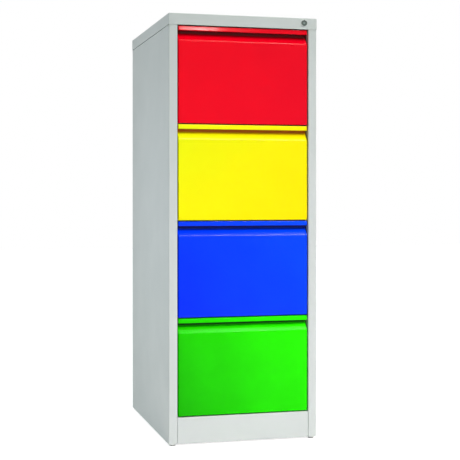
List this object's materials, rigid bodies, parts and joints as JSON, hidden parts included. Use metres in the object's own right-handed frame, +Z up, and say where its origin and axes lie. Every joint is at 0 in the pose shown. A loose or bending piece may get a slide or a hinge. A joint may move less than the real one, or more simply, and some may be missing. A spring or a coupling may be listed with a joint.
{
  "type": "filing cabinet",
  "caption": "Tall steel filing cabinet with coloured full-width drawers on telescopic ball-bearing slides, each with a pressed finger-pull, and one cylinder lock for them all.",
  "frame": {"origin": "on the floor, under the middle of the cabinet's footprint", "axes": "+Z up, front towards -Y, +X to the right-hand side seen from the front"},
  "size_m": [0.47, 0.6222, 1.304],
  "materials": {
    "carcass_paint": "light-grey semi-gloss powder coat",
    "red_paint": "red gloss powder coat",
    "yellow_paint": "yellow gloss powder coat",
    "blue_paint": "blue gloss powder coat",
    "green_paint": "green gloss powder coat",
    "zinc_steel": "bright zinc plate",
    "lock_metal": "nickel-plated zinc casting",
    "rubber": "matt black rubber",
    "nylon": "grey nylon"
  },
  "bodies": {
    "carcass": {"side_panel_left": "carcass_paint", "side_panel_right": "carcass_paint", "back_panel": "carcass_paint", "top_cap": "carcass_paint", "plinth": "carcass_paint", "base_pan": "carcass_paint", "front_posts": "carcass_paint", "rear_posts": "carcass_paint", "cross_rails": "carcass_paint", "bump_stops": "rubber", "feet": "nylon", "lock_housing": "lock_metal", "lock_clip": "zinc_steel", "lock_bar_guides": "nylon", "drawer_1_slide_outer": "zinc_steel", "drawer_2_slide_outer": "zinc_steel", "drawer_3_slide_outer": "zinc_steel", "drawer_4_slide_outer": "zinc_steel"},
    "lock_plug": {"lock_plug": "lock_metal", "lock_cam": "zinc_steel"},
    "lock_bar": {"lock_bar": "zinc_steel", "lock_bar_arm": "zinc_steel", "lock_bar_fingers": "zinc_steel"},
    "drawer_1": {"drawer_1_front": "red_paint", "drawer_1_liner": "carcass_paint", "drawer_1_tray": "carcass_paint", "drawer_1_back": "carcass_paint", "drawer_1_lock_catch": "zinc_steel", "drawer_1_slide_inner": "zinc_steel"},
    "drawer_1_slide_mid": {"drawer_1_slide_mid": "zinc_steel"},
    "drawer_1_outer_cages": {"drawer_1_ball_cages_outer": "zinc_steel"},
    "drawer_1_inner_cages": {"drawer_1_ball_cages_inner": "zinc_steel"},
    "drawer_2": {"drawer_2_front": "yellow_paint", "drawer_2_liner": "carcass_paint", "drawer_2_tray": "carcass_paint", "drawer_2_back": "carcass_paint", "drawer_2_lock_catch": "zinc_steel", "drawer_2_slide_inner": "zinc_steel"},
    "drawer_2_slide_mid": {"drawer_2_slide_mid": "zinc_steel"},
    "drawer_2_outer_cages": {"drawer_2_ball_cages_outer": "zinc_steel"},
    "drawer_2_inner_cages": {"drawer_2_ball_cages_inner": "zinc_steel"},
    "drawer_3": {"drawer_3_front": "blue_paint", "drawer_3_liner": "carcass_paint", "drawer_3_tray": "carcass_paint", "drawer_3_back": "carcass_paint", "drawer_3_lock_catch": "zinc_steel", "drawer_3_slide_inner": "zinc_steel"},
    "drawer_3_slide_mid": {"drawer_3_slide_mid": "zinc_steel"},
    "drawer_3_outer_cages": {"drawer_3_ball_cages_outer": "zinc_steel"},
    "drawer_3_inner_cages": {"drawer_3_ball_cages_inner": "zinc_steel"},
    "drawer_4": {"drawer_4_front": "green_paint", "drawer_4_liner": "carcass_paint", "drawer_4_tray": "carcass_paint", "drawer_4_back": "carcass_paint", "drawer_4_lock_catch": "zinc_steel", "drawer_4_slide_inner": "zinc_steel"},
    "drawer_4_slide_mid": {"drawer_4_slide_mid": "zinc_steel"},
    "drawer_4_outer_cages": {"drawer_4_ball_cages_outer": "zinc_steel"},
    "drawer_4_inner_cages": {"drawer_4_ball_cages_inner": "zinc_steel"}
  },
  "joints": [
    {"name": "key_turn", "type": "hinge", "parent": "carcass", "child": "lock_plug", "pos_m": [0.193, -0.31, 1.289], "axis": [0, -1, 0], "range_deg": [0, 90]},
    {"name": "lock_bar_lift", "type": "slide", "parent": "carcass", "child": "lock_bar", "axis": [0, 0, 1], "range_m": [0, 0.01273]},
    {"name": "drawer_1_pull", "type": "slide", "parent": "carcass", "child": "drawer_1", "axis": [0, -1, 0], "range_m": [0, 0.53]},
    {"name": "drawer_1_slide_mid_run", "type": "slide", "parent": "carcass", "child": "drawer_1_slide_mid", "axis": [0, -1, 0], "range_m": [0, 0.265]},
    {"name": "drawer_1_outer_cages_run", "type": "slide", "parent": "carcass", "child": "drawer_1_outer_cages", "axis": [0, -1, 0], "range_m": [0, 0.1325]},
    {"name": "drawer_1_inner_cages_run", "type": "slide", "parent": "carcass", "child": "drawer_1_inner_cages", "axis": [0, -1, 0], "range_m": [0, 0.3975]},
    {"name": "drawer_2_pull", "type": "slide", "parent": "carcass", "child": "drawer_2", "axis": [0, -1, 0], "range_m": [0, 0.53]},
    {"name": "drawer_2_slide_mid_run", "type": "slide", "parent": "carcass", "child": "drawer_2_slide_mid", "axis": [0, -1, 0], "range_m": [0, 0.265]},
    {"name": "drawer_2_outer_cages_run", "type": "slide", "parent": "carcass", "child": "drawer_2_outer_cages", "axis": [0, -1, 0], "range_m": [0, 0.1325]},
    {"name": "drawer_2_inner_cages_run", "type": "slide", "parent": "carcass", "child": "drawer_2_inner_cages", "axis": [0, -1, 0], "range_m": [0, 0.3975]},
    {"name": "drawer_3_pull", "type": "slide", "parent": "carcass", "child": "drawer_3", "axis": [0, -1, 0], "range_m": [0, 0.53]},
    {"name": "drawer_3_slide_mid_run", "type": "slide", "parent": "carcass", "child": "drawer_3_slide_mid", "axis": [0, -1, 0], "range_m": [0, 0.265]},
    {"name": "drawer_3_outer_cages_run", "type": "slide", "parent": "carcass", "child": "drawer_3_outer_cages", "axis": [0, -1, 0], "range_m": [0, 0.1325]},
    {"name": "drawer_3_inner_cages_run", "type": "slide", "parent": "carcass", "child": "drawer_3_inner_cages", "axis": [0, -1, 0], "range_m": [0, 0.3975]},
    {"name": "drawer_4_pull", "type": "slide", "parent": "carcass", "child": "drawer_4", "axis": [0, -1, 0], "range_m": [0, 0.53]},
    {"name": "drawer_4_slide_mid_run", "type": "slide", "parent": "carcass", "child": "drawer_4_slide_mid", "axis": [0, -1, 0], "range_m": [0, 0.265]},
    {"name": "drawer_4_outer_cages_run", "type": "slide", "parent": "carcass", "child": "drawer_4_outer_cages", "axis": [0, -1, 0], "range_m": [0, 0.1325]},
    {"name": "drawer_4_inner_cages_run", "type": "slide", "parent": "carcass", "child": "drawer_4_inner_cages", "axis": [0, -1, 0], "range_m": [0, 0.3975]}
  ],
  "couplings": [
    {"joint": "key_turn", "follows": "lock_bar_lift", "rad_per_m": 123.38},
    {"joint": "drawer_1_slide_mid_run", "follows": "drawer_1_pull", "ratio": 0.5},
    {"joint": "drawer_1_outer_cages_run", "follows": "drawer_1_pull", "ratio": 0.25},
    {"joint": "drawer_1_inner_cages_run", "follows": "drawer_1_pull", "ratio": 0.75},
    {"joint": "drawer_2_slide_mid_run", "follows": "drawer_2_pull", "ratio": 0.5},
    {"joint": "drawer_2_outer_cages_run", "follows": "drawer_2_pull", "ratio": 0.25},
    {"joint": "drawer_2_inner_cages_run", "follows": "drawer_2_pull", "ratio": 0.75},
    {"joint": "drawer_3_slide_mid_run", "follows": "drawer_3_pull", "ratio": 0.5},
    {"joint": "drawer_3_outer_cages_run", "follows": "drawer_3_pull", "ratio": 0.25},
    {"joint": "drawer_3_inner_cages_run", "follows": "drawer_3_pull", "ratio": 0.75},
    {"joint": "drawer_4_slide_mid_run", "follows": "drawer_4_pull", "ratio": 0.5},
    {"joint": "drawer_4_outer_cages_run", "follows": "drawer_4_pull", "ratio": 0.25},
    {"joint": "drawer_4_inner_cages_run", "follows": "drawer_4_pull", "ratio": 0.75}
  ]
}
